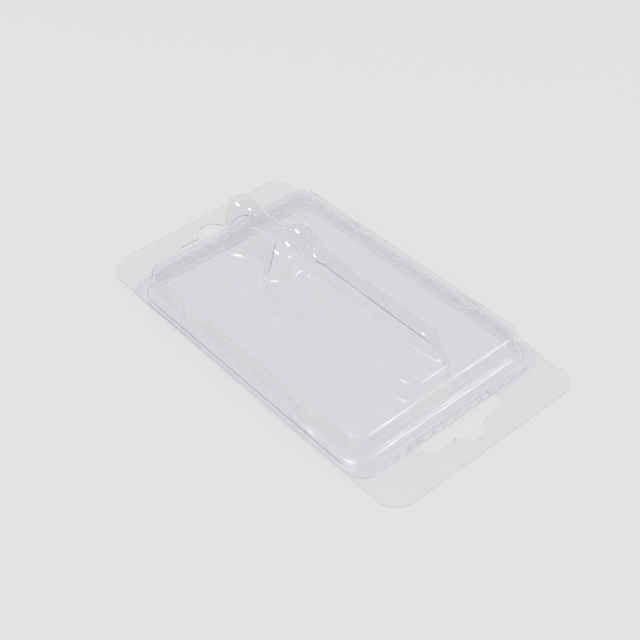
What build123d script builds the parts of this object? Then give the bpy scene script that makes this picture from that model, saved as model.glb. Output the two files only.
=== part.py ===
from build123d import *
import os
from math import radians, sqrt, tan

# Sheet and clearances
SHEET = 0.45
NEST_GAP = 0.6
TOP_GAP = 0.5
SEAT_RISE = 0.5
DRAFT_DEG = 3.0
BELOW = 4.0

# Flanges of both shells, seen from above
SIDE_LIP = 3.6
SHORT_LIP = 3.4
SLOT_TO_SEAT = 0.5
TAB_CORNER = 7.6
SHORT_CORNER = 6.6

# Hang slot in each tab
SLOT_LENGTH = 32.0
SLOT_HEIGHT = 7.6
CROWN_RADIUS = 4.8
CROWN_RISE = 4.4
CROWN_BLEND = 1.8
SLOT_TO_EDGE = 4.6

# Perforated short ends
PERF_PITCH = 4.8
PERF_LENGTH = 2.5
PERF_WIDTH = 0.45
PERF_INSET = 0.7

# Raised tray of the cover, sizes at its foot
TRAY_LENGTH = 105.8
TRAY_WIDTH = 68.8
TRAY_CORNER = 5.6
TRAY_TOP = 10.4
TRAY_EDGE = 1.5
FOOT_BLEND = 0.7
SEAT_BORDER = 2.3

# Snap columns in the long walls
SNAP_X = 28.0
SNAP_RADIUS = 17.3
SNAP_BULGE = 0.9
SNAP_TOP = 8.2
SNAP_EDGE = 0.8

# Second level beside the handle
STEP_TOP = 16.5
STEP_BEFORE_HEAD = 3.7
STEP_TO_WALL = 1.5
STEP_NEAR_LEFT = -14.4
STEP_NEAR_RIGHT = -12.9
STEP_FAR = 5.4
STEP_CORNER_LEFT = 8.5
STEP_CORNER_RIGHT = 3.0
STEP_EDGE = 1.1

# Handle rib and its pointed tip
HANDLE_Y = 4.8
HANDLE_AXIS_Z = 17.2
HANDLE_RADIUS_LEFT = 4.9
HANDLE_RADIUS_RIGHT = 4.2
HANDLE_PAST_HEAD = 1.8
HANDLE_FLARE = 0.6
TIP_TO_STEP = 4.6
TIP_LENGTH = 6.2
TIP_RADIUS = 0.9
TIP_AXIS_Z = 15.8

# Round dome at the left end
DOME_TO_WALL = 12.1
DOME_Y = -1.3
DOME_RADIUS = 5.9
DOME_TOP = 29.2
DOME_FLARE = 0.8

# Second dome with its lower shoulder
DOME_TO_HEAD = 25.0
HEAD_Y = 2.7
HEAD_RADIUS = 5.4
HEAD_TOP = 29.6
SHOULDER_Y = -5.1
SHOULDER_RADIUS = 6.6
SHOULDER_TOP = 26.2
HEAD_FLARE = 0.8

# Neck between the two domes
NECK_Y = 0.8
NECK_RADIUS = 3.0
NECK_TOP = 25.8
NECK_FLARE = 4.0

# Low pad of the base, which nests in the step of the cover
PAD_RISE = 1.15
PAD_LENGTH = 33.5
PAD_FAR = -0.5
PAD_BIG_CORNER = 9.8
PAD_CORNER = 1.6
PAD_EDGE = 0.7
PAD_FOOT = 0.35

# Reaches and levels worked out from the sizes above
FLANGE_WIDTH = TRAY_WIDTH + 2 * SIDE_LIP
SEAT_REACH = TRAY_LENGTH / 2 + SEAT_BORDER
SHORT_REACH = SEAT_REACH + SHORT_LIP
SLOT_OUT = SEAT_REACH + SLOT_TO_SEAT + SLOT_HEIGHT
TAB_REACH = SLOT_OUT + CROWN_RISE + SLOT_TO_EDGE
BASE_FLANGE_TOP = SHEET
SEAT_TOP = BASE_FLANGE_TOP + SEAT_RISE
COVER_FLANGE_TOP = SEAT_TOP + SHEET
BASE_TRAY_TOP = TRAY_TOP - SHEET - TOP_GAP
INSET = SHEET + NEST_GAP
PERF_COUNT = int((FLANGE_WIDTH - 2 * SHORT_CORNER) / PERF_PITCH)
DOME_X = DOME_TO_WALL - TRAY_LENGTH / 2
HEAD_X = DOME_X + DOME_TO_HEAD
STEP_LEFT = HEAD_X - STEP_BEFORE_HEAD
STEP_RIGHT = TRAY_LENGTH / 2 - STEP_TO_WALL
HANDLE_START = HEAD_X + HANDLE_PAST_HEAD
TIP_END = STEP_RIGHT - TIP_TO_STEP
HANDLE_END = TIP_END - TIP_LENGTH
PAD_TOP = BASE_TRAY_TOP + PAD_RISE
WALL_SLOPE = tan(radians(DRAFT_DEG))
SIDES = (-1, 1)
DIAGONAL_SHARE = sqrt(0.5)


def rounded(corners, radii):
    """Flat face on the given corners, each of them rounded by its own radius."""
    face = make_face(Polyline(*corners, close=True))
    for corner, radius in zip(corners, radii):
        near = face.vertices().sort_by_distance(corner)[0]
        face = fillet(near, radius)
    return face


def drafted(corners, radii, foot, top, edge):
    """Prism on a rounded plan, its walls leaning in by the draft, its top edge rounded."""
    low = foot - BELOW
    grown = offset(rounded(corners, radii), BELOW * WALL_SLOPE, kind=Kind.INTERSECTION)
    solid = Pos(0, 0, low) * extrude(grown, top - low, taper=DRAFT_DEG)
    if edge > 0:
        solid = fillet(solid.edges().group_by(Axis.Z)[-1], edge)
    return solid


def box_corners(x_low, x_high, y_low, y_high):
    """The four corners of an upright box in plan."""
    return [(x_low, y_low), (x_high, y_low), (x_high, y_high), (x_low, y_high)]


def outline(short_side, bottom, top):
    """Plate in the outer shape of a shell, its tab at the side opposite short_side."""
    x_short = short_side * SHORT_REACH
    x_tab = -short_side * TAB_REACH
    half = FLANGE_WIDTH / 2
    corners = [(x_short, -half), (x_short, half), (x_tab, half), (x_tab, -half)]
    face = rounded(corners, [SHORT_CORNER, SHORT_CORNER, TAB_CORNER, TAB_CORNER])
    return Pos(0, 0, bottom) * extrude(face, top - bottom)


def cut_outs(short_side, bottom, top):
    """Hang slot in the tab and the row of slits along the short end, as one cutter."""
    tab = -short_side
    slot_mid = SLOT_OUT - SLOT_HEIGHT / 2
    slot = Pos(tab * slot_mid, 0) * SlotOverall(SLOT_LENGTH, SLOT_HEIGHT, rotation=90)
    crown_mid = tab * (SLOT_OUT + CROWN_RISE - CROWN_RADIUS)
    slot = slot + Pos(crown_mid, 0) * Circle(CROWN_RADIUS)
    inner = slot.vertices().sort_by_distance((crown_mid, 0))[:2]
    slot = fillet(inner, CROWN_BLEND)
    cutter = Pos(0, 0, bottom) * extrude(slot, top - bottom)
    slit = Box(PERF_WIDTH, PERF_LENGTH, top - bottom)
    slit_x = short_side * (SHORT_REACH - PERF_INSET)
    for index in range(PERF_COUNT):
        slit_y = (index - (PERF_COUNT - 1) / 2) * PERF_PITCH
        cutter = cutter + Pos(slit_x, slit_y, (bottom + top) / 2) * slit
    return cutter


def tray(inward, foot, top, edge):
    """Raised tray with its four snap columns, all faces moved inward by the given amount."""
    half_x = TRAY_LENGTH / 2 - inward
    half_y = TRAY_WIDTH / 2 - inward
    radius = TRAY_CORNER - inward
    body = drafted(box_corners(-half_x, half_x, -half_y, half_y), [radius] * 4, foot, top, edge)
    snap_radius = SNAP_RADIUS - inward
    snap_top = SNAP_TOP - inward
    low = foot - BELOW
    column = Cone(
        snap_radius + BELOW * WALL_SLOPE, snap_radius, snap_top - low,
        align=(Align.CENTER, Align.CENTER, Align.MIN),
    )
    column = fillet(column.edges().group_by(Axis.Z)[-1], SNAP_EDGE)
    reach = TRAY_WIDTH / 2 + SNAP_BULGE - SNAP_RADIUS
    for side_x in SIDES:
        for side_y in SIDES:
            body = body + Pos(side_x * SNAP_X, side_y * reach, low) * column
    return body


def arch(x, mid, radius, flare, axis_z, low):
    """Upright section across the pack: leaning sides under a half round top."""
    left = (x, mid - radius, axis_z)
    right = (x, mid + radius, axis_z)
    foot_left = (x, mid - radius - flare, low)
    foot_right = (x, mid + radius + flare, low)
    edges = [
        Edge.make_line(foot_left, left),
        Edge.make_three_point_arc(left, (x, mid, axis_z + radius), right),
        Edge.make_line(right, foot_right),
        Edge.make_line(foot_right, foot_left),
    ]
    return Wire(edges)


def long_arch(y, mid, radius, flare, axis_z, low):
    """The same section standing along the pack."""
    left = (mid - radius, y, axis_z)
    right = (mid + radius, y, axis_z)
    foot_left = (mid - radius - flare, y, low)
    foot_right = (mid + radius + flare, y, low)
    edges = [
        Edge.make_line(foot_left, left),
        Edge.make_three_point_arc(left, (mid, y, axis_z + radius), right),
        Edge.make_line(right, foot_right),
        Edge.make_line(foot_right, foot_left),
    ]
    return Wire(edges)


def dome(x, y, radius, flare, top, low, side=1, turn=360):
    """Round column that widens to its foot, under a half ball, or the half of one."""
    axis_z = top - radius
    slant = radius * DIAGONAL_SHARE
    edges = [
        Edge.make_line((x, y, low), (x + side * (radius + flare), y, low)),
        Edge.make_line((x + side * (radius + flare), y, low), (x + side * radius, y, axis_z)),
        Edge.make_three_point_arc(
            (x + side * radius, y, axis_z), (x + side * slant, y, axis_z + slant), (x, y, top)
        ),
        Edge.make_line((x, y, top), (x, y, low)),
    ]
    return revolve(Face(Wire(edges)), Axis((x, y, 0), (0, 0, 1)), turn)


def blister(inward):
    """The product blister on the tray: step, handle, tip, two domes and neck."""
    low = TRAY_TOP - inward - BELOW / 2
    step = drafted(
        [
            (STEP_LEFT + inward, STEP_NEAR_LEFT + inward),
            (STEP_RIGHT - inward, STEP_NEAR_RIGHT + inward),
            (STEP_RIGHT - inward, STEP_FAR - inward),
            (STEP_LEFT + inward, STEP_FAR - inward),
        ],
        [
            STEP_CORNER_LEFT - inward, STEP_CORNER_RIGHT - inward,
            STEP_CORNER_RIGHT - inward, STEP_CORNER_RIGHT - inward,
        ],
        TRAY_TOP - inward, STEP_TOP - inward, STEP_EDGE - inward,
    )
    left = HANDLE_RADIUS_LEFT - inward
    right = HANDLE_RADIUS_RIGHT - inward
    tip = TIP_RADIUS - inward
    section_start = arch(
        HANDLE_START + inward, HANDLE_Y, left, HANDLE_FLARE, HANDLE_AXIS_Z, low
    )
    section_end = arch(HANDLE_END, HANDLE_Y, right, HANDLE_FLARE, HANDLE_AXIS_Z, low)
    section_tip = arch(TIP_END - inward, HANDLE_Y, tip, HANDLE_FLARE, TIP_AXIS_Z, low)
    handle = Solid.make_loft([section_start, section_end], True)
    point = Solid.make_loft([section_end, section_tip], True)
    ball = dome(DOME_X, DOME_Y, DOME_RADIUS - inward, DOME_FLARE, DOME_TOP - inward, low)
    head = dome(
        HEAD_X, HEAD_Y, HEAD_RADIUS - inward, HEAD_FLARE, HEAD_TOP - inward, low, 1, 180
    )
    shoulder = dome(
        HEAD_X, SHOULDER_Y, SHOULDER_RADIUS - inward, HEAD_FLARE,
        SHOULDER_TOP - inward, low, -1, 180,
    )
    bridge = Solid.make_loft(
        [
            long_arch(SHOULDER_Y, HEAD_X, SHOULDER_RADIUS - inward, HEAD_FLARE,
                      SHOULDER_TOP - SHOULDER_RADIUS, low),
            long_arch(HEAD_Y, HEAD_X, HEAD_RADIUS - inward, HEAD_FLARE,
                      HEAD_TOP - HEAD_RADIUS, low),
        ],
        True,
    )
    neck_axis = NECK_TOP - NECK_RADIUS
    neck_radius = NECK_RADIUS - inward
    neck = Solid.make_loft(
        [
            arch(DOME_X + inward, NECK_Y, neck_radius, NECK_FLARE, neck_axis, low),
            arch(HEAD_X - inward, NECK_Y, neck_radius, NECK_FLARE, neck_axis, low),
        ],
        True,
    )
    body = step + handle + point + ball + head + shoulder + bridge + neck
    return body


def slab(level):
    """Wide plate whose upper face lies at the given level."""
    wide = 2 * (TAB_REACH + BELOW)
    plate = Box(wide, wide, BELOW, align=(Align.CENTER, Align.CENTER, Align.MAX))
    return Pos(0, 0, level) * plate


def blend_rim(body, level, radius):
    """Round the edge where a raised shape meets the flat face at the level."""
    flats = [f for f in body.faces().filter_by(Axis.Z) if f.inner_wires()]
    flat = sorted(flats, key=lambda f: abs(f.center().Z - level))[0]
    return fillet(flat.inner_wires()[0].edges(), radius)


def cover_form(inward):
    """Everything below the cover's sheet, moved inward from its outer face."""
    level = COVER_FLANGE_TOP - inward
    body = slab(level) + tray(inward, level, TRAY_TOP - inward, TRAY_EDGE - inward)
    body = blend_rim(body, level, FOOT_BLEND + inward)
    return body + blister(inward)


def base_form(inward):
    """Everything below the base's sheet, moved inward from its outer face."""
    level = BASE_FLANGE_TOP - inward
    seat_level = SEAT_TOP - inward
    half_x = SEAT_REACH - inward
    half_y = TRAY_WIDTH / 2 + SEAT_BORDER - inward
    radius = TRAY_CORNER + SEAT_BORDER - inward
    seat = drafted(
        box_corners(-half_x, half_x, -half_y, half_y), [radius] * 4, level, seat_level, 0
    )
    raised = tray(INSET + inward, seat_level, BASE_TRAY_TOP - inward, TRAY_EDGE - inward)
    body = slab(level) + seat + raised + pad(inward)
    return blend_rim(body, BASE_TRAY_TOP - inward, PAD_FOOT + inward)


def pad(inward):
    """The low pad of the base, a wall's gap inside the step, with one wide round corner."""
    left = STEP_LEFT + INSET
    right = left + PAD_LENGTH
    slant_share = (right - STEP_LEFT) / (STEP_RIGHT - STEP_LEFT)
    near_left = STEP_NEAR_LEFT + INSET
    near_right = near_left + (STEP_NEAR_RIGHT - STEP_NEAR_LEFT) * slant_share
    return drafted(
        [
            (left + inward, near_left + inward),
            (right - inward, near_right + inward),
            (right - inward, PAD_FAR - inward),
            (left + inward, PAD_FAR - inward),
        ],
        [
            STEP_CORNER_LEFT - INSET - inward, PAD_CORNER - inward,
            PAD_BIG_CORNER - inward, PAD_CORNER - inward,
        ],
        BASE_TRAY_TOP - inward, PAD_TOP - inward, PAD_EDGE - inward,
    )


os.makedirs("parts", exist_ok=True)

cover = cover_form(0) - cover_form(SHEET)
cover = cover & outline(1, COVER_FLANGE_TOP - SHEET, DOME_TOP + BELOW)
cover = cover - cut_outs(1, 0, COVER_FLANGE_TOP + SHEET)
export_step(cover, "parts/cover_shell.step")

base = base_form(0) - base_form(SHEET)
base = base & outline(-1, 0, STEP_TOP)
base = base - cut_outs(-1, -SHEET, SEAT_TOP)
export_step(base, "parts/base_shell.step")
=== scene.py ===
from math import cos, radians, sin, tan

import bpy
import numpy as np
from mathutils import Matrix, Vector
from mathutils.geometry import delaunay_2d_cdt


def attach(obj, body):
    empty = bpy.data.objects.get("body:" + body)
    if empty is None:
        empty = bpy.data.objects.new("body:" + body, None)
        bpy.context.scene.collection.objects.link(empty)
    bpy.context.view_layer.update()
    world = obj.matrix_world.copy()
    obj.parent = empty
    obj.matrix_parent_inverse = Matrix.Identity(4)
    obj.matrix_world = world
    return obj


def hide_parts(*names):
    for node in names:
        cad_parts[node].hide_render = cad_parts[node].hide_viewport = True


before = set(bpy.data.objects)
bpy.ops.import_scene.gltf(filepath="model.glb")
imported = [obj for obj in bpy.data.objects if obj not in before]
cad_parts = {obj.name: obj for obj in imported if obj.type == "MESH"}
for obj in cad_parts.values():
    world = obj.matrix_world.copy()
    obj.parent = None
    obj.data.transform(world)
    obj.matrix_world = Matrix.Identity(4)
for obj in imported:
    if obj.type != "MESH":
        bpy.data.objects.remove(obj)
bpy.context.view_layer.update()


# Cover: one clear polyester sheet, drawn over a mould into a tray and a blister for a
# product, with a flat step, a half round handle and two domes joined by a neck. It
# nests over the base's tray, and its outline, hang slot and slits are die cut.

MM = 0.001

# Sheet and wall draft of both shells, and the levels at which their flanges lie.
SHEET = 0.45
DRAFT = radians(3.0)
WALL_SLOPE = tan(DRAFT)
WALL_COS = cos(DRAFT)
SEAT_RISE = 0.5
BASE_FLANGE_TOP = SHEET
SEAT_TOP = BASE_FLANGE_TOP + SEAT_RISE
COVER_FLANGE_TOP = SEAT_TOP + SHEET

# Plan of the flange, of the hang slot with its crown, and of the row of slits.
FLANGE_HALF = 38.0
TAB_REACH = 72.3
SHORT_REACH = 58.6
TAB_CORNER = 7.6
SHORT_CORNER = 6.6
SLOT_HALF = 16.0
SLOT_HEIGHT = 7.6
SLOT_OUT = 63.3
CROWN_RADIUS = 4.8
CROWN_RISE = 4.4
CROWN_BLEND = 1.8
SLIT_PITCH = 4.8
SLIT_LENGTH = 2.5
SLIT_WIDTH = 0.25
SLIT_INSET = 0.7
SLIT_COUNT = 13
ROUND_POINTS = 17
CROWN_POINTS = 21
BLEND_POINTS = 7

# Tray and the snap columns in its long walls.
TRAY_HALF_X = 52.9
TRAY_HALF_Y = 34.4
TRAY_CORNER = 5.6
TRAY_TOP = 10.4
TRAY_EDGE = 1.2
TRAY_FOOT = 2.0
SNAP_X = 28.0
SNAP_RADIUS = 17.3
SNAP_BULGE = 0.9
SNAP_TOP = 8.2
SNAP_EDGE = 0.8
SNAP_BLEND = 0.5

# Blister: the step, the handle with its tip, the dome, the head with its shoulder,
# and the neck between the two domes. Its forms start a little below the tray's top.
BLISTER_SINK = 2.0
BLISTER_FOOT = TRAY_TOP - BLISTER_SINK
STEP_TOP = 16.5
STEP_LEFT = -19.5
STEP_RIGHT = 52.1
STEP_NEAR_LEFT = -14.4
STEP_NEAR_RIGHT = -12.9
STEP_FAR = 5.4
STEP_CORNERS = (8.5, 5.4, 4.5, 3.0)
STEP_EDGE = 1.8
STEP_FOOT = 0.8
HANDLE_Y = 4.8
HANDLE_AXIS_Z = 17.2
HANDLE_RADIUS_LEFT = 4.9
HANDLE_RADIUS_RIGHT = 4.2
HANDLE_START = -14.0
HANDLE_END = 40.6
HANDLE_FLARE = 0.6
HANDLE_FOOT = 0.6
TIP_END = 51.4
TIP_RADIUS = 1.0
TIP_Y = 1.9
TIP_AXIS_Z = 14.8
KNEE_BLEND = 0.2
LEAST_RADIUS = 0.3
DOME = (-40.8, -1.3)
DOME_RADIUS = 5.9
DOME_TOP = 29.2
DOME_FLARE = 0.8
HEAD_X = -15.8
HEAD_Y = 2.7
HEAD_RADIUS = 5.4
HEAD_TOP = 29.6
SHOULDER_Y = -5.1
SHOULDER_RADIUS = 5.9
SHOULDER_TOP = 25.8
NECK_Y = 0.8
NECK_RADIUS = 3.0
NECK_TOP = 25.8
NECK_FLARE = 4.0
NECK_BLEND = 1.4
ROD_FOOT = 2.8


# The mould: each form is a distance to its face, negative inside, in millimetres.

def rounded_meet(a, b, radius):
    """Distance to what lies inside both a and b, the edge between them rounded.
    Inside the corner zone it is the distance to the arc's centre less the radius."""
    u = a + radius
    v = b + radius
    beyond = np.hypot(np.maximum(u, 0), np.maximum(v, 0))
    return np.minimum(np.maximum(u, v), 0) + beyond - radius


def soft_join(a, b, blend):
    """Smaller of two distances, with a hollow rounding where they are nearly equal.
    The rounding takes off a quarter of the blend times the square of the nearness."""
    near = np.maximum(blend - np.abs(a - b), 0) / blend
    return np.minimum(a, b) - near * near * blend / 4


def s_curve(share):
    """Smooth rise from 0 to 1: three times the square less twice the cube."""
    return share ** 2 * (3 - 2 * share)


def rounded_box(x, y, half_x, half_y, radius):
    """Distance in plan to a rectangle with round corners: its sides meet rounded."""
    return rounded_meet(np.abs(x) - half_x, np.abs(y) - half_y, radius)


def slanted_plan(x, y, left, right, near, far, corners):
    """Distance in plan to a box whose near side leans like the step's near side.
    The corners' radii run from the near left one round to the far left one."""
    tilt = (STEP_NEAR_RIGHT - STEP_NEAR_LEFT) / (STEP_RIGHT - STEP_LEFT)
    front = (near + (x - STEP_LEFT) * tilt - y) / np.hypot(1, tilt)
    back = y - far
    return np.maximum(
        np.maximum(rounded_meet(front, left - x, corners[0]),
                   rounded_meet(front, x - right, corners[1])),
        np.maximum(rounded_meet(back, x - right, corners[2]),
                   rounded_meet(back, left - x, corners[3])),
    )


def drafted(plan, z, foot, top, edge):
    """Distance to a block over a plan shape, its top edge rounded.
    The walls lean in by the slope times the height, and the cosine makes it a distance."""
    wall = (plan + (z - foot) * WALL_SLOPE) * WALL_COS
    return rounded_meet(wall, z - top, edge)


def round_top(reach, z, axis_z, radius, foot, flare):
    """Distance to a form with a half round top, whose sides widen evenly to the foot.
    Above the axis the height counts as a third direction, below it only the flare does."""
    above = np.maximum(z - axis_z, 0)
    below = np.maximum(axis_z - z, 0) / (axis_z - foot)
    return np.hypot(reach, above) - radius - flare * below


def snap_columns(x, y, z, inset, foot):
    """Distance to the four round columns, whose circles bulge a little past the walls.
    One circle is measured, as x and y are taken without their signs."""
    middle = TRAY_HALF_Y + SNAP_BULGE - SNAP_RADIUS
    plan = np.hypot(np.abs(x) - SNAP_X, np.abs(y) - middle) - SNAP_RADIUS + inset
    return drafted(plan, z, foot, SNAP_TOP - inset, SNAP_EDGE)


def tray(x, y, z, inset, foot, top):
    """Distance to the raised tray: a drafted round cornered box joined to its columns."""
    plan = rounded_box(x, y, TRAY_HALF_X - inset, TRAY_HALF_Y - inset, TRAY_CORNER - inset)
    block = drafted(plan, z, foot, top, TRAY_EDGE)
    return soft_join(block, snap_columns(x, y, z, inset, foot), SNAP_BLEND)


def step(x, y, z):
    """Distance to the flat second level beside the handle, a drafted slanted box."""
    plan = slanted_plan(x, y, STEP_LEFT, STEP_RIGHT, STEP_NEAR_LEFT, STEP_FAR,
                        STEP_CORNERS)
    return drafted(plan, z, TRAY_TOP, STEP_TOP, STEP_EDGE)


def handle(x, y, z):
    """Distance to the half round handle, its radius falling evenly along its length.
    Past the knee it falls faster, and the axis sinks and turns towards the near side."""
    along = (x - HANDLE_START) / (HANDLE_END - HANDLE_START)
    point = (x - HANDLE_END) / (TIP_END - HANDLE_END)
    straight = HANDLE_RADIUS_LEFT + (HANDLE_RADIUS_RIGHT - HANDLE_RADIUS_LEFT) * along
    narrow = HANDLE_RADIUS_RIGHT + (TIP_RADIUS - HANDLE_RADIUS_RIGHT) * point
    radius = np.maximum(soft_join(straight, narrow, KNEE_BLEND), LEAST_RADIUS)
    axis_z = HANDLE_AXIS_Z + (TIP_AXIS_Z - HANDLE_AXIS_Z) * np.clip(point, 0, 1)
    middle = HANDLE_Y + (TIP_Y - HANDLE_Y) * np.clip(point, 0, 1)
    rib = round_top(y - middle, z, axis_z, radius, BLISTER_FOOT, HANDLE_FLARE)
    return rounded_meet(rib, np.maximum(x - TIP_END, HANDLE_START - x), TIP_RADIUS)


def dome(x, y, z):
    """Distance to the tall dome at the left end: a ball on a slightly flared post."""
    reach = np.hypot(x - DOME[0], y - DOME[1])
    axis_z = DOME_TOP - DOME_RADIUS
    return round_top(reach, z, axis_z, DOME_RADIUS, BLISTER_FOOT, DOME_FLARE)


def head(x, y, z):
    """Distance to the second dome, measured from the nearest point of its short axis.
    Along the axis the radius grows evenly and the top sinks by an S-curve."""
    share = np.clip((y - SHOULDER_Y) / (HEAD_Y - SHOULDER_Y), 0, 1)
    middle = SHOULDER_Y + (HEAD_Y - SHOULDER_Y) * share
    radius = SHOULDER_RADIUS + (HEAD_RADIUS - SHOULDER_RADIUS) * share
    top = SHOULDER_TOP + (HEAD_TOP - SHOULDER_TOP) * s_curve(share)
    reach = np.hypot(x - HEAD_X, y - middle)
    return round_top(reach, z, top - radius, radius, BLISTER_FOOT, DOME_FLARE)


def neck(x, y, z):
    """Distance to the low bridge between the two domes: a rib that ends inside both."""
    axis_z = NECK_TOP - NECK_RADIUS
    rib = round_top(y - NECK_Y, z, axis_z, NECK_RADIUS, BLISTER_FOOT, NECK_FLARE)
    return np.maximum(rib, np.maximum(DOME[0] - x, x - HEAD_X))


def cover_form(x, y, z):
    """Distance to everything below the upper face of the cover's sheet.
    Flange, tray, step and handle are joined one after another, and then the domes."""
    flange = z - COVER_FLANGE_TOP
    lower = soft_join(flange, tray(x, y, z, 0, COVER_FLANGE_TOP, TRAY_TOP), TRAY_FOOT)
    domes = soft_join(dome(x, y, z), neck(x, y, z), NECK_BLEND)
    rod = soft_join(domes, head(x, y, z), NECK_BLEND)
    stepped = soft_join(lower, step(x, y, z), STEP_FOOT)
    return soft_join(soft_join(stepped, handle(x, y, z), HANDLE_FOOT), rod, ROD_FOOT)


# From a form to the upper face of a sheet: a net of quads round the form's zero level.

NUDGE = 0.002
PULLS = 4
LEAST_SQUARE = 0.2


def spaced(start, *stretches):
    """Grid lines from a start through (end, step) stretches, each evenly divided."""
    lines = [np.array([start])]
    for end, gap in stretches:
        count = max(1, round((end - start) / gap))
        lines.append(np.linspace(start, end, count + 1)[1:])
        start = end
    return np.concatenate(lines)


def crossing_sums(value, lines):
    """For every cell, the sum and the number of the points where its edges cross zero.
    On an edge, the crossing's share is the low end's value over the two ends' drop."""
    cells = tuple(n - 1 for n in value.shape)
    total = np.zeros(cells + (3,))
    count = np.zeros(cells)
    grids = np.meshgrid(*lines, indexing="ij")
    for axis in range(3):
        lead = [slice(None)] * 3
        lag = [slice(None)] * 3
        lead[axis] = slice(1, None)
        lag[axis] = slice(None, -1)
        low = value[tuple(lag)]
        high = value[tuple(lead)]
        cut = (low < 0) != (high < 0)
        share = np.where(cut, low / np.where(cut, low - high, 1), 0)
        points = []
        for grid in grids:
            here = grid[tuple(lag)]
            points.append(np.where(cut, here + share * (grid[tuple(lead)] - here), 0))
        others = [k for k in range(3) if k != axis]
        for a in (0, 1):
            for b in (0, 1):
                part = [slice(None)] * 3
                part[others[0]] = slice(a, cells[others[0]] + a)
                part[others[1]] = slice(b, cells[others[1]] + b)
                count += cut[tuple(part)]
                for k in range(3):
                    total[..., k] += points[k][tuple(part)]
    return total, count


def net_faces(value, number):
    """Quads round every grid edge that crosses zero, turned so that they face out.
    Each joins the points of the four cells that share the edge."""
    faces = []
    for axis in range(3):
        b = (axis + 1) % 3
        c = (axis + 2) % 3
        turned = value.transpose(axis, b, c)
        cells = number.transpose(axis, b, c)
        low = turned[:-1, 1:-1, 1:-1] < 0
        high = turned[1:, 1:-1, 1:-1] < 0
        corners = [cells[:, :-1, :-1], cells[:, 1:, :-1], cells[:, 1:, 1:], cells[:, :-1, 1:]]
        out = low & ~high
        back = high & ~low
        faces.append(np.stack([q[out] for q in corners], axis=1))
        faces.append(np.stack([q[back] for q in corners[::-1]], axis=1))
    return np.concatenate(faces)


def slope_of(form, points):
    """Direction in which the distance grows fastest: its change over a small step."""
    slopes = []
    for axis in range(3):
        ahead = points.copy()
        back = points.copy()
        ahead[:, axis] += NUDGE
        back[:, axis] -= NUDGE
        slopes.append((form(*ahead.T) - form(*back.T)) / (2 * NUDGE))
    return np.stack(slopes, axis=1)


def formed_surface(form, xs, ys, zs):
    """Upper face of a formed sheet: points, outward directions, quads, border loop.
    Points start at the mean crossing of each cell. They are then moved onto the form,
    each time along the slope by the distance over the slope's square."""
    value = form(*np.meshgrid(xs, ys, zs, indexing="ij"))
    total, count = crossing_sums(value, (xs, ys, zs))
    live = count > 0
    number = np.full(live.shape, -1)
    number[live] = np.arange(live.sum())
    points = total[live] / count[live][:, None]
    for _ in range(PULLS):
        slope = slope_of(form, points)
        square = np.maximum((slope * slope).sum(axis=1), LEAST_SQUARE)
        points -= (form(*points.T) / square)[:, None] * slope
    slope = slope_of(form, points)
    outward = slope / np.linalg.norm(slope, axis=1)[:, None]
    plan = number.max(axis=2)
    border = np.concatenate([plan[:-1, 0], plan[-1, :-1], plan[:0:-1, -1], plan[0, :0:-1]])
    return points, outward, net_faces(value, number), border


# The flat flange round the formed part, with what the die cuts out of it.

SAME_POINT = 1e-4
LOOP_TOLERANCE = 1e-6


def arc(centre, radius, start, end, count):
    """Points along an arc in plan, by cosine and sine of angles given in degrees."""
    turn = np.radians(np.linspace(start, end, count))
    x = centre[0] + radius * np.cos(turn)
    y = centre[1] + radius * np.sin(turn)
    return np.stack([x, y], axis=1)


def flange_outline(side):
    """Outer edge of a shell's flange: four corner arcs, the tab on the given side."""
    half = FLANGE_HALF
    tab = TAB_REACH - TAB_CORNER
    short = SHORT_REACH - SHORT_CORNER
    loop = np.concatenate([
        arc((tab, half - TAB_CORNER), TAB_CORNER, 90, 0, ROUND_POINTS),
        arc((tab, TAB_CORNER - half), TAB_CORNER, 0, -90, ROUND_POINTS),
        arc((-short, SHORT_CORNER - half), SHORT_CORNER, -90, -180, ROUND_POINTS),
        arc((-short, half - SHORT_CORNER), SHORT_CORNER, 180, 90, ROUND_POINTS),
    ])
    return loop * (side, 1)


def slot_outline(side):
    """Edge of the hang slot: round ends, and a crown that runs into it by small arcs.
    A small arc's centre lies the sum of both radii away from the crown's centre."""
    end = SLOT_HEIGHT / 2
    middle = SLOT_OUT - end
    crown = SLOT_OUT + CROWN_RISE - CROWN_RADIUS
    reach = CROWN_RADIUS + CROWN_BLEND
    lift = CROWN_BLEND + SLOT_OUT - crown
    foot = (reach * reach - lift * lift) ** 0.5
    tilt = np.degrees(np.arctan2(foot, lift))
    loop = np.concatenate([
        arc((SLOT_OUT + CROWN_BLEND, -foot), CROWN_BLEND, 180, 180 - tilt, BLEND_POINTS),
        arc((crown, 0), CROWN_RADIUS, -tilt, tilt, CROWN_POINTS),
        arc((SLOT_OUT + CROWN_BLEND, foot), CROWN_BLEND, 180 + tilt, 180, BLEND_POINTS),
        arc((middle, SLOT_HALF - end), end, 0, 180, ROUND_POINTS),
        arc((middle, end - SLOT_HALF), end, 180, 360, ROUND_POINTS),
    ])
    return loop * (side, 1)


def slit_outlines(side):
    """The row of short slits along the end that has no tab, evenly pitched boxes."""
    middle = -side * (SHORT_REACH - SLIT_INSET)
    corners = np.array([(-1, -1), (1, -1), (1, 1), (-1, 1)]) / 2
    slit = corners * (SLIT_WIDTH, SLIT_LENGTH)
    places = (np.arange(SLIT_COUNT) - (SLIT_COUNT - 1) / 2) * SLIT_PITCH
    return [slit + (middle, y) for y in places]


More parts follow.
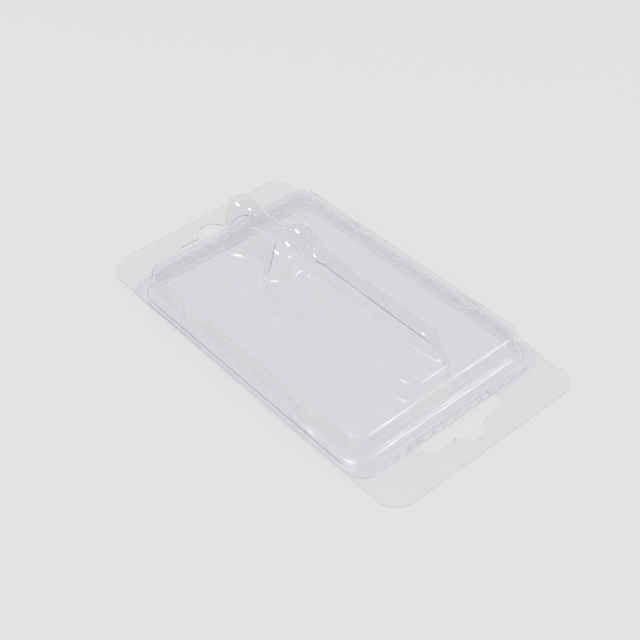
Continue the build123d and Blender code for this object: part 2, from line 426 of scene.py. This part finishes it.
def within(points, loop):
    """Which points lie inside a closed loop, by counting the edges to their right."""
    x = points[:, 0][:, None]
    y = points[:, 1][:, None]
    ends = np.roll(loop, -1, axis=0)
    spans = (loop[:, 1] > y) != (ends[:, 1] > y)
    rise = np.where(spans, ends[:, 1] - loop[:, 1], 1)
    cross = loop[:, 0] + (y - loop[:, 1]) * (ends[:, 0] - loop[:, 0]) / rise
    return (spans & (x < cross)).sum(axis=1) % 2 == 1


def flat_faces(edge, holes):
    """Points and triangles of a flat region between an outer loop and its holes.
    Triangles whose middle is in a hole go, and the rest are turned to face up."""
    loops = [edge] + holes
    points = np.concatenate(loops)
    links = []
    start = 0
    for loop in loops:
        ids = np.arange(start, start + len(loop))
        links += list(zip(ids.tolist(), np.roll(ids, -1).tolist()))
        start += len(loop)
    corners = [Vector(p) for p in points]
    places, _, faces, *_ = delaunay_2d_cdt(corners, links, [], 0, LOOP_TOLERANCE)
    places = np.array([tuple(p) for p in places])
    faces = np.array([tuple(f) for f in faces])
    middles = places[faces].mean(axis=1)
    keep = within(middles, edge)
    for hole in holes:
        keep &= ~within(middles, hole)
    faces = faces[keep]
    a, b, c = (places[faces[:, k]] for k in range(3))
    turn = (b - a)[:, 0] * (c - a)[:, 1] - (b - a)[:, 1] * (c - a)[:, 0]
    faces[turn < 0] = faces[turn < 0][:, ::-1]
    return places, faces


def with_flange(points, outward, border, side, level):
    """The formed face and its flat flange: points, outward directions and triangles.
    A flange point that falls on the border loop is that loop's own point."""
    points[border, 2] = level
    outward[border] = (0, 0, 1)
    ring = points[border][:, :2]
    holes = [ring, slot_outline(side)] + slit_outlines(side)
    places, triangles = flat_faces(flange_outline(side), holes)
    gap = np.linalg.norm(places[:, None] - ring[None], axis=2)
    nearest = gap.argmin(axis=1)
    shared = gap.min(axis=1) < SAME_POINT
    number = np.where(shared, border[nearest], len(points) + np.cumsum(~shared) - 1)
    rest = places[~shared]
    points = np.concatenate([points, np.column_stack([rest, np.full(len(rest), level)])])
    outward = np.concatenate([outward, np.tile((0.0, 0.0, 1.0), (len(rest), 1))])
    return points, outward, number[triangles]


# The closed sheet: upper face, lower face and the rims where the die cut it.

def open_edges(quads, triangles, count):
    """Edges with a face on one side only: those whose reverse is in no face."""
    edges = np.concatenate(
        [quads[:, (k, (k + 1) % 4)] for k in range(4)]
        + [triangles[:, (k, (k + 1) % 3)] for k in range(3)]
    )
    key = edges[:, 0] * count + edges[:, 1]
    reverse = edges[:, 1] * count + edges[:, 0]
    return edges[~np.isin(key, reverse)]


def closed_mesh(name, points, faces, ways):
    """Mesh from points in millimetres, groups of faces and a normal for every corner.
    Each face's corners follow one another in one long row, the groups in their order."""
    sizes = np.concatenate([np.full(len(f), f.shape[1]) for f in faces])
    corners = np.concatenate([f.ravel() for f in faces])
    mesh = bpy.data.meshes.new(name)
    mesh.vertices.add(len(points))
    mesh.vertices.foreach_set("co", (points * MM).ravel())
    mesh.loops.add(len(corners))
    mesh.loops.foreach_set("vertex_index", corners)
    mesh.polygons.add(len(sizes))
    mesh.polygons.foreach_set("loop_start", np.concatenate([[0], np.cumsum(sizes)[:-1]]))
    mesh.update(calc_edges=True)
    mesh.validate()
    mesh.shade_smooth()
    mesh.normals_split_custom_set(np.concatenate(ways))
    return mesh


def shell_piece(name, form, side, level, lines, node, body, sheet, edge):
    """One formed sheet as a closed mesh that stands for its CAD node.
    The lower face is the upper one moved in by the sheet, and the rims join them.
    Corner normals come from the form itself, so that long highlights stay straight,
    and a rim's normals are its edge's direction turned sideways."""
    points, outward, quads, border = formed_surface(form, *lines)
    points, outward, triangles = with_flange(points, outward, border, side, level)
    count = len(points)
    edges = open_edges(quads, triangles, count)
    rims = np.column_stack([edges[:, ::-1], edges + count])
    across = points[edges[:, 1]] - points[edges[:, 0]]
    sideways = np.cross(across, (0.0, 0.0, 1.0))
    sideways /= np.linalg.norm(sideways, axis=1)[:, None]
    faces = [quads, quads[:, ::-1] + count, rims, triangles, triangles[:, ::-1] + count]
    ways = [
        outward[quads.ravel()],
        -outward[quads[:, ::-1].ravel()],
        sideways.repeat(4, axis=0),
        outward[triangles.ravel()],
        -outward[triangles[:, ::-1].ravel()],
    ]
    both_faces = np.concatenate([points, points - outward * SHEET])
    mesh = closed_mesh(name, both_faces, faces, ways)
    mesh.materials.append(sheet)
    # The rims take the second material, whose darker tint is painted shade.
    mesh.materials.append(edge)
    first_rim = 2 * len(quads)
    slot = np.zeros(len(mesh.polygons), dtype=np.int32)
    slot[first_rim:first_rim + len(rims)] = 1
    mesh.polygons.foreach_set("material_index", slot)
    piece = bpy.data.objects.new(name, mesh)
    bpy.context.scene.collection.objects.link(piece)
    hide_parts(node)
    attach(piece, body)
    return piece


# Clear polyester, glossy on both faces, with a faint cool tint. A thin sheet hardly
# bends what is seen through it, so its own index is low, and a coat gives the gloss.
# Lamps shine through almost unchanged, so that the floor below stays lit.

FLAT_TINT = (0.981, 0.979, 0.991)
# Painted shade: the upright walls take this darker tint in place of the flat parts' tint.
WALL_SHADE_TINT = (0.955, 0.955, 0.962)
LAMP_TINT = (0.985, 0.985, 0.99)
# Painted shade: the cut rims take a darker tint and pass less lamp light, so that the sheet's
# outline shows as a dark line.
EDGE_SHADE_TINT = (0.7, 0.7, 0.73)
EDGE_SHADE_LAMP_TINT = (0.9, 0.9, 0.91)
SHEET_ROUGHNESS = 0.03
EDGE_ROUGHNESS = 0.12
SHEET_INDEX = 1.18
GLOSS_INDEX = 1.5
GLOSS_SHARE = 0.8
GLOSS_ROUGHNESS = 0.03


def clear_plastic(name, tint, passed, roughness):
    """Glass-like shader, and a plain see-through one for rays from lamps.
    The second is used in full where a ray is a shadow ray or a diffuse one."""
    material = bpy.data.materials.new(name)
    material.use_nodes = True
    nodes = material.node_tree.nodes
    links = material.node_tree.links
    shader = nodes["Principled BSDF"]
    shader.inputs["Base Color"].default_value = (*tint, 1)
    shader.inputs["Transmission Weight"].default_value = 1.0
    shader.inputs["Roughness"].default_value = roughness
    shader.inputs["IOR"].default_value = SHEET_INDEX
    shader.inputs["Coat Weight"].default_value = GLOSS_SHARE
    shader.inputs["Coat IOR"].default_value = GLOSS_INDEX
    shader.inputs["Coat Roughness"].default_value = GLOSS_ROUGHNESS
    through = nodes.new("ShaderNodeBsdfTransparent")
    through.inputs["Color"].default_value = (*passed, 1)
    rays = nodes.new("ShaderNodeLightPath")
    either = nodes.new("ShaderNodeMath")
    either.operation = "MAXIMUM"
    mix = nodes.new("ShaderNodeMixShader")
    links.new(rays.outputs["Is Shadow Ray"], either.inputs[0])
    links.new(rays.outputs["Is Diffuse Ray"], either.inputs[1])
    links.new(either.outputs["Value"], mix.inputs["Fac"])
    links.new(shader.outputs["BSDF"], mix.inputs[1])
    links.new(through.outputs["BSDF"], mix.inputs[2])
    links.new(mix.outputs["Shader"], nodes["Material Output"].inputs["Surface"])
    return material


def wall_shaded_sheet(name):
    """Clear plastic with painted shade: its upright walls take a darker tint than its flat
    parts.
    The normal's upright share, taken without its sign, blends the two tints."""
    material = clear_plastic(name, FLAT_TINT, LAMP_TINT, SHEET_ROUGHNESS)
    nodes = material.node_tree.nodes
    links = material.node_tree.links
    face = nodes.new("ShaderNodeNewGeometry")
    parts = nodes.new("ShaderNodeSeparateXYZ")
    flatness = nodes.new("ShaderNodeMath")
    flatness.operation = "ABSOLUTE"
    # This blend paints shade on the upright walls, darker the more upright the face.
    blend = nodes.new("ShaderNodeMixRGB")
    blend.inputs["Color1"].default_value = (*WALL_SHADE_TINT, 1)
    blend.inputs["Color2"].default_value = (*FLAT_TINT, 1)
    links.new(face.outputs["Normal"], parts.inputs["Vector"])
    links.new(parts.outputs["Z"], flatness.inputs[0])
    links.new(flatness.outputs["Value"], blend.inputs["Fac"])
    links.new(blend.outputs["Color"], nodes["Principled BSDF"].inputs["Base Color"])
    return material


# The rims' material, with painted shade in its darker tint.
shaded_cut_edge = clear_plastic("shaded_cut_sheet_edge", EDGE_SHADE_TINT, EDGE_SHADE_LAMP_TINT, EDGE_ROUGHNESS)
cover_sheet = wall_shaded_sheet("clear_cover_sheet")

# Grid lines stand close where the cover bends, and wide apart where it is flat.
cover_lines = (
    spaced(-54.6, (-50.0, 0.38), (-48.6, 0.7), (-33.5, 0.45), (-24.0, 0.6),
           (-8.0, 0.45), (20.0, 0.9), (36.0, 0.7), (50.0, 0.45), (54.6, 0.38)),
    spaced(-36.2, (-31.5, 0.38), (-16.0, 1.2), (-10.5, 0.42), (10.8, 0.45),
           (31.5, 1.3), (36.2, 0.38)),
    spaced(0.9, (3.1, 0.36), (7.0, 0.65), (11.8, 0.36), (14.6, 0.55), (30.4, 0.42)),
)
cover = shell_piece("cover_sheet", cover_form, -1, COVER_FLANGE_TOP, cover_lines,
                    "cover_shell", "cover", cover_sheet, shaded_cut_edge)


# Base: a second clear polyester sheet, drawn into the same tray one sheet smaller. Its
# low seat ring carries the cover, and a low pad with round corners stands in the tray.
# The seat is a hair low, so that the two clear faces there don't fall together.

NEST_GAP = 0.6
TOP_GAP = 0.5
INSET = SHEET + NEST_GAP
BASE_TRAY_TOP = TRAY_TOP - SHEET - TOP_GAP
BASE_TRAY_FOOT = 0.8
SEAT_BORDER = 2.3
SEAT_EDGE = 0.25
SEAT_FOOT = 0.5
REST_GAP = 0.04
PAD_RIGHT = 15.05
PAD_FAR = -0.5
PAD_CORNERS = (7.45, 1.6, 9.8, 1.6)
PAD_RISE = 0.7
PAD_SLOPE = 3.2


def pad(x, y, z):
    """Distance to the low pad in the hollow of the cover's step.
    Its top rises by an S-curve from the border over the width of the slope."""
    plan = slanted_plan(x, y, STEP_LEFT + INSET, PAD_RIGHT, STEP_NEAR_LEFT + INSET,
                        PAD_FAR, PAD_CORNERS)
    rise = PAD_RISE * s_curve(np.clip(-plan / PAD_SLOPE, 0, 1))
    return np.maximum(z - BASE_TRAY_TOP - rise, plan - PAD_SLOPE)


def base_form(x, y, z):
    """Distance to everything below the upper face of the base's sheet.
    The seat ring is joined to the flange, the tray to both, and the pad lies on top."""
    plan = rounded_box(x, y, TRAY_HALF_X + SEAT_BORDER, TRAY_HALF_Y + SEAT_BORDER,
                       TRAY_CORNER + SEAT_BORDER)
    seat = drafted(plan, z, BASE_FLANGE_TOP, SEAT_TOP - REST_GAP, SEAT_EDGE)
    lower = soft_join(z - BASE_FLANGE_TOP, seat, SEAT_FOOT)
    inner = tray(x, y, z, INSET, SEAT_TOP, BASE_TRAY_TOP)
    return np.minimum(soft_join(lower, inner, BASE_TRAY_FOOT), pad(x, y, z))


base_sheet = wall_shaded_sheet("clear_base_sheet")

base_lines = (
    spaced(-56.4, (-49.0, 0.38), (-20.0, 1.2), (-9.5, 0.4), (3.5, 0.9), (17.0, 0.38),
           (48.5, 1.2), (56.4, 0.38)),
    spaced(-37.7, (-31.0, 0.38), (-15.0, 1.2), (1.0, 0.38), (31.0, 1.2), (37.7, 0.38)),
    spaced(0.2, (3.1, 0.29), (7.2, 0.65), (11.6, 0.28)),
)
base = shell_piece("base_sheet", base_form, 1, BASE_FLANGE_TOP, base_lines,
                   "base_shell", "base", base_sheet, shaded_cut_edge)


# Floor: a plain pale matt sweep under the pack. It lies a hair below the base's
# underside, so that the two flat faces don't fall together.

FLOOR_HALF = 3
FLOOR_DROP = 0.0002
FLOOR_COLOUR = (0.8, 0.805, 0.8)

pale_floor = bpy.data.materials.new("pale_floor")
pale_floor.use_nodes = True
floor_shader = pale_floor.node_tree.nodes["Principled BSDF"]
floor_shader.inputs["Base Color"].default_value = (*FLOOR_COLOUR, 1)
floor_shader.inputs["Roughness"].default_value = 0.9
floor_shader.inputs["Specular IOR Level"].default_value = 0.2

floor_mesh = bpy.data.meshes.new("floor")
floor_corners = [(-FLOOR_HALF, -FLOOR_HALF, 0), (FLOOR_HALF, -FLOOR_HALF, 0),
                 (FLOOR_HALF, FLOOR_HALF, 0), (-FLOOR_HALF, FLOOR_HALF, 0)]
floor_mesh.from_pydata(floor_corners, [], [(0, 1, 2, 3)])
floor_mesh.materials.append(pale_floor)
floor = bpy.data.objects.new("floor", floor_mesh)
floor.location.z = -FLOOR_DROP
bpy.context.scene.collection.objects.link(floor)


# Light: a long soft lamp overhead and a small low one on the far right, in a pale
# room. Rays may cross many sheet faces in a row, as the two shells nest.

ROOM_STRENGTH = 0.655

paths = bpy.context.scene.cycles
paths.max_bounces = 32
paths.transmission_bounces = 32
paths.glossy_bounces = 16
paths.transparent_max_bounces = 32

room = bpy.data.worlds.new("pale_room")
room.use_nodes = True
room.node_tree.nodes["Background"].inputs["Color"].default_value = (1.0, 1.0, 1.0, 1)
room.node_tree.nodes["Background"].inputs["Strength"].default_value = ROOM_STRENGTH
bpy.context.scene.world = room


def soft_box(name, way, along, distance, width, height, power):
    """Rectangular lamp at a distance in the given direction, facing the pack.
    Its width runs along a second direction, less that one's part towards the lamp."""
    data = bpy.data.lights.new(name, "AREA")
    data.shape = "RECTANGLE"
    data.size = width
    data.size_y = height
    data.energy = power
    away = Vector(way).normalized()
    side = Vector(along) - away * Vector(along).dot(away)
    side.normalize()
    lamp = bpy.data.objects.new(name, data)
    facing = Matrix((side, away.cross(side), away)).transposed().to_4x4()
    lamp.matrix_world = Matrix.Translation(away * distance) @ facing
    bpy.context.scene.collection.objects.link(lamp)
    return lamp


soft_box("overhead_lamp", way=(-0.193, -0.31, 0.931), along=(1, 0, 0), distance=2.0,
         width=1.18, height=0.33, power=11.0)
soft_box("far_lamp", way=(0.715, 0.5, 0.49), along=(0, 1, 0), distance=1.4,
         width=0.36, height=0.12, power=2.5)


# Camera: fitted to the flange edges of the photograph. It looks down on the pack
# from the near right, rolled a few degrees.

AZIMUTH = radians(52.116)
ELEVATION = radians(42.115)
ROLL = radians(-3.568)
TARGET = Vector((-0.002926, -0.0011035, 0))
DISTANCE = 0.3941
FOCAL_PIXELS = 1219.6
PICTURE_PIXELS = 640
SENSOR = 36

flat_reach = cos(ELEVATION)
forward = Vector((-sin(AZIMUTH) * flat_reach, cos(AZIMUTH) * flat_reach, -sin(ELEVATION)))
level_right = Vector((cos(AZIMUTH), sin(AZIMUTH), 0))
level_up = level_right.cross(forward)
right = cos(ROLL) * level_right + sin(ROLL) * level_up
up = cos(ROLL) * level_up - sin(ROLL) * level_right
camera_data = bpy.data.cameras.new("camera")
camera_data.sensor_width = SENSOR
camera_data.lens = FOCAL_PIXELS / PICTURE_PIXELS * SENSOR
camera_data.clip_start = 0.01
camera = bpy.data.objects.new("camera", camera_data)
turned = Matrix((right, up, -forward)).transposed().to_4x4()
camera.matrix_world = Matrix.Translation(TARGET - forward * DISTANCE) @ turned
bpy.context.scene.collection.objects.link(camera)
bpy.context.scene.camera = camera
bpy.context.scene.view_settings.view_transform = "Standard"
